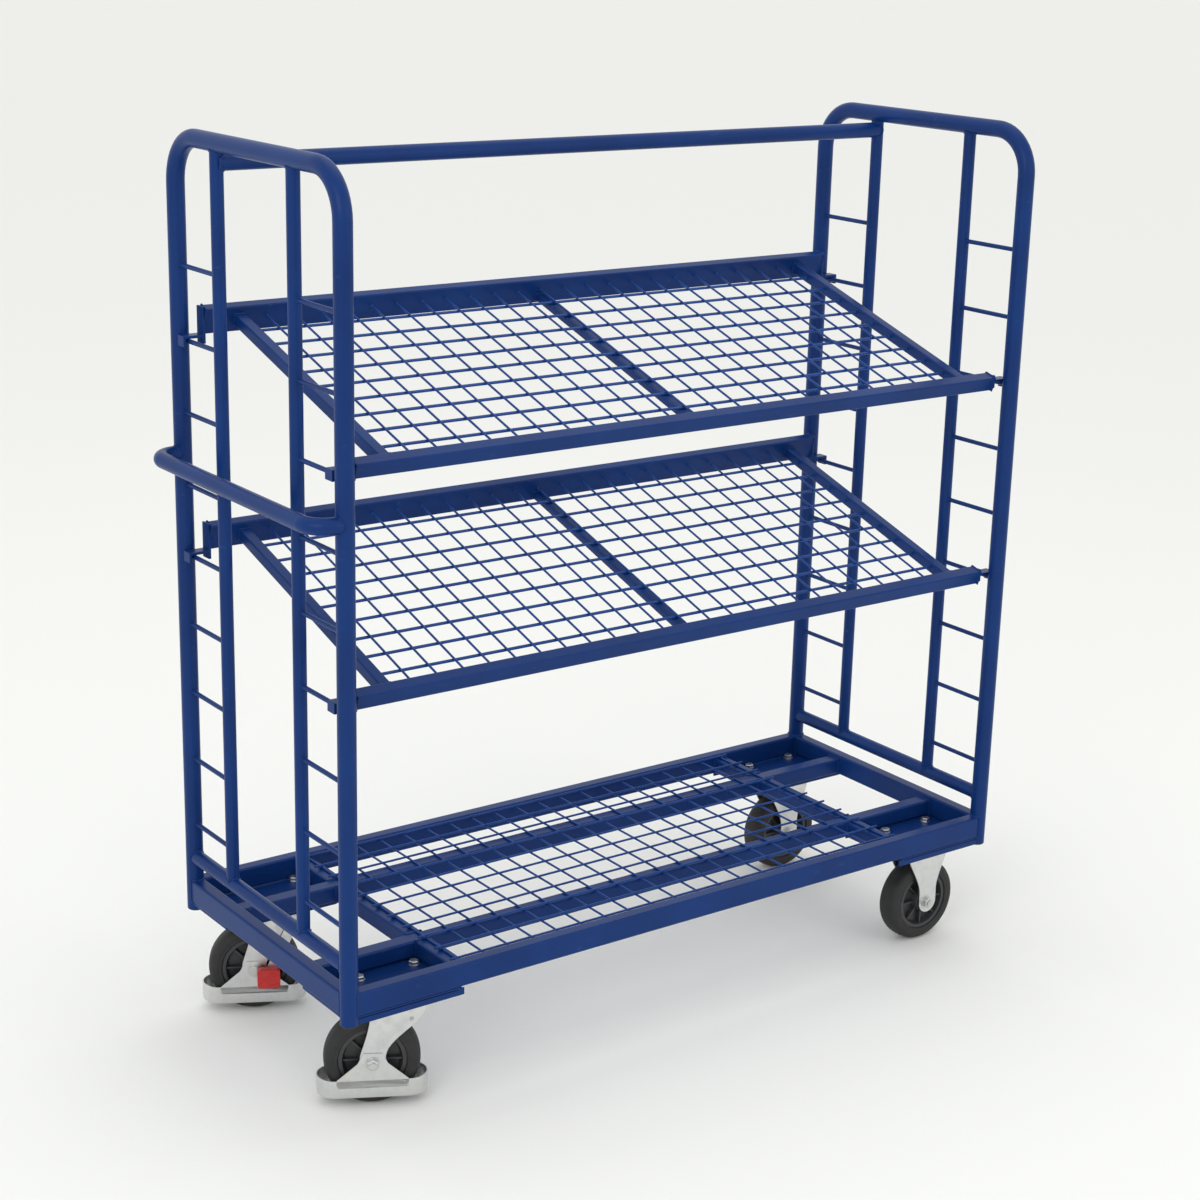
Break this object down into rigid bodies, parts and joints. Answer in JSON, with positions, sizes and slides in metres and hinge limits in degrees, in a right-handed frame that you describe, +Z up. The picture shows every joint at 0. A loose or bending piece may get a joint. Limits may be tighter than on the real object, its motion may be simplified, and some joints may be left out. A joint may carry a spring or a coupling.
{
  "type": "rolling shelf trolley",
  "caption": "Tall blue tubular trolley with ladder end frames, two hook-on tilted wire mesh shelves, a mesh deck, a push handle, and swivel and fixed castors.",
  "frame": {"origin": "on the floor, at the centre of the trolley's outline", "axes": "+X along the trolley towards the fixed castors, away from the push handle; +Y from the low front of the shelves to their high back; +Z up"},
  "size_m": [1.4606, 0.5688, 1.55],
  "materials": {
    "blue_frame": "semi-gloss powder coat on steel",
    "blue_mesh": "semi-gloss powder coat on welded wire",
    "zinc_sheet": "bright zinc plated pressed steel",
    "zinc_fastener": "zinc plated fastener",
    "bearing_steel": "ground bearing steel",
    "wheel_plastic": "moulded wheel body",
    "tyre_rubber": "solid black rubber",
    "red_pedal": "moulded red plastic",
    "black_plug": "moulded black plug"
  },
  "bodies": {
    "trolley": {"left_end_hoop": "blue_frame", "right_end_hoop": "blue_frame", "left_inner_uprights": "blue_frame", "right_inner_uprights": "blue_frame", "left_ladder_rungs": "blue_frame", "right_ladder_rungs": "blue_frame", "left_cross_tube": "blue_frame", "right_cross_tube": "blue_frame", "top_rail": "blue_frame", "push_handle": "blue_frame", "front_side_rail": "blue_frame", "rear_side_rail": "blue_frame", "left_end_rail": "blue_frame", "right_end_rail": "blue_frame", "inner_rails": "blue_frame", "cross_members": "blue_frame", "left_corner_plates": "blue_frame", "right_corner_plates": "blue_frame", "deck_mesh": "blue_mesh", "post_end_caps": "black_plug", "castor_bolts": "zinc_fastener", "castor_nuts": "zinc_fastener", "swivel_top_plates": "zinc_sheet", "swivel_kingpins": "zinc_fastener", "swivel_balls": "bearing_steel", "front_right_bracket": "zinc_sheet", "rear_right_bracket": "zinc_sheet", "fixed_castor_axles": "zinc_fastener"},
    "front_left_castor": {"front_left_fork": "zinc_sheet", "front_left_foot_guard": "zinc_sheet", "front_left_axle": "zinc_fastener"},
    "front_left_brake": {"front_left_brake_lever": "zinc_sheet", "front_left_brake_pedal": "red_pedal"},
    "rear_left_castor": {"rear_left_fork": "zinc_sheet", "rear_left_foot_guard": "zinc_sheet", "rear_left_axle": "zinc_fastener"},
    "rear_left_brake": {"rear_left_brake_lever": "zinc_sheet", "rear_left_brake_pedal": "red_pedal"},
    "front_left_wheel": {"front_left_wheel_hub": "wheel_plastic", "front_left_tyre": "tyre_rubber", "front_left_wheel_bearing": "bearing_steel"},
    "rear_left_wheel": {"rear_left_wheel_hub": "wheel_plastic", "rear_left_tyre": "tyre_rubber", "rear_left_wheel_bearing": "bearing_steel"},
    "front_right_wheel": {"front_right_wheel_hub": "wheel_plastic", "front_right_tyre": "tyre_rubber", "front_right_wheel_bearing": "bearing_steel"},
    "rear_right_wheel": {"rear_right_wheel_hub": "wheel_plastic", "rear_right_tyre": "tyre_rubber", "rear_right_wheel_bearing": "bearing_steel"},
    "upper_shelf": {"upper_shelf_rails": "blue_frame", "upper_shelf_bars": "blue_frame", "upper_shelf_mesh": "blue_mesh", "upper_shelf_hooks": "blue_frame"},
    "lower_shelf": {"lower_shelf_rails": "blue_frame", "lower_shelf_bars": "blue_frame", "lower_shelf_mesh": "blue_mesh", "lower_shelf_hooks": "blue_frame"}
  },
  "joints": [
    {"name": "front_left_swivel", "type": "hinge", "parent": "trolley", "child": "front_left_castor", "pos_m": [-0.53475, -0.205, 0.19], "axis": [0, 0, 1], "continuous": true},
    {"name": "front_left_wheel_spin", "type": "hinge", "parent": "front_left_castor", "child": "front_left_wheel", "pos_m": [-0.57448, -0.18387, 0.08], "axis": [0.4695, 0.8829, 0], "continuous": true},
    {"name": "front_left_brake_press", "type": "hinge", "parent": "front_left_castor", "child": "front_left_brake", "pos_m": [-0.51886, -0.21345, 0.158], "axis": [-0.4695, -0.8829, 0], "range_deg": [0, 20]},
    {"name": "rear_left_swivel", "type": "hinge", "parent": "trolley", "child": "rear_left_castor", "pos_m": [-0.53475, 0.205, 0.19], "axis": [0, 0, 1], "continuous": true},
    {"name": "rear_left_wheel_spin", "type": "hinge", "parent": "rear_left_castor", "child": "rear_left_wheel", "pos_m": [-0.57448, 0.22613, 0.08], "axis": [0.4695, 0.8829, 0], "continuous": true},
    {"name": "rear_left_brake_press", "type": "hinge", "parent": "rear_left_castor", "child": "rear_left_brake", "pos_m": [-0.51886, 0.19655, 0.158], "axis": [-0.4695, -0.8829, 0], "range_deg": [0, 20]},
    {"name": "front_right_wheel_spin", "type": "hinge", "parent": "trolley", "child": "front_right_wheel", "pos_m": [0.62525, -0.205, 0.08], "axis": [0, 1, 0], "continuous": true},
    {"name": "rear_right_wheel_spin", "type": "hinge", "parent": "trolley", "child": "rear_right_wheel", "pos_m": [0.62525, 0.205, 0.08], "axis": [0, 1, 0], "continuous": true},
    {"name": "upper_shelf_lift", "type": "slide", "parent": "trolley", "child": "upper_shelf", "axis": [0, 0, 1], "range_m": [0, 0.06]},
    {"name": "lower_shelf_lift", "type": "slide", "parent": "trolley", "child": "lower_shelf", "axis": [0, 0, 1], "range_m": [0, 0.06]}
  ]
}
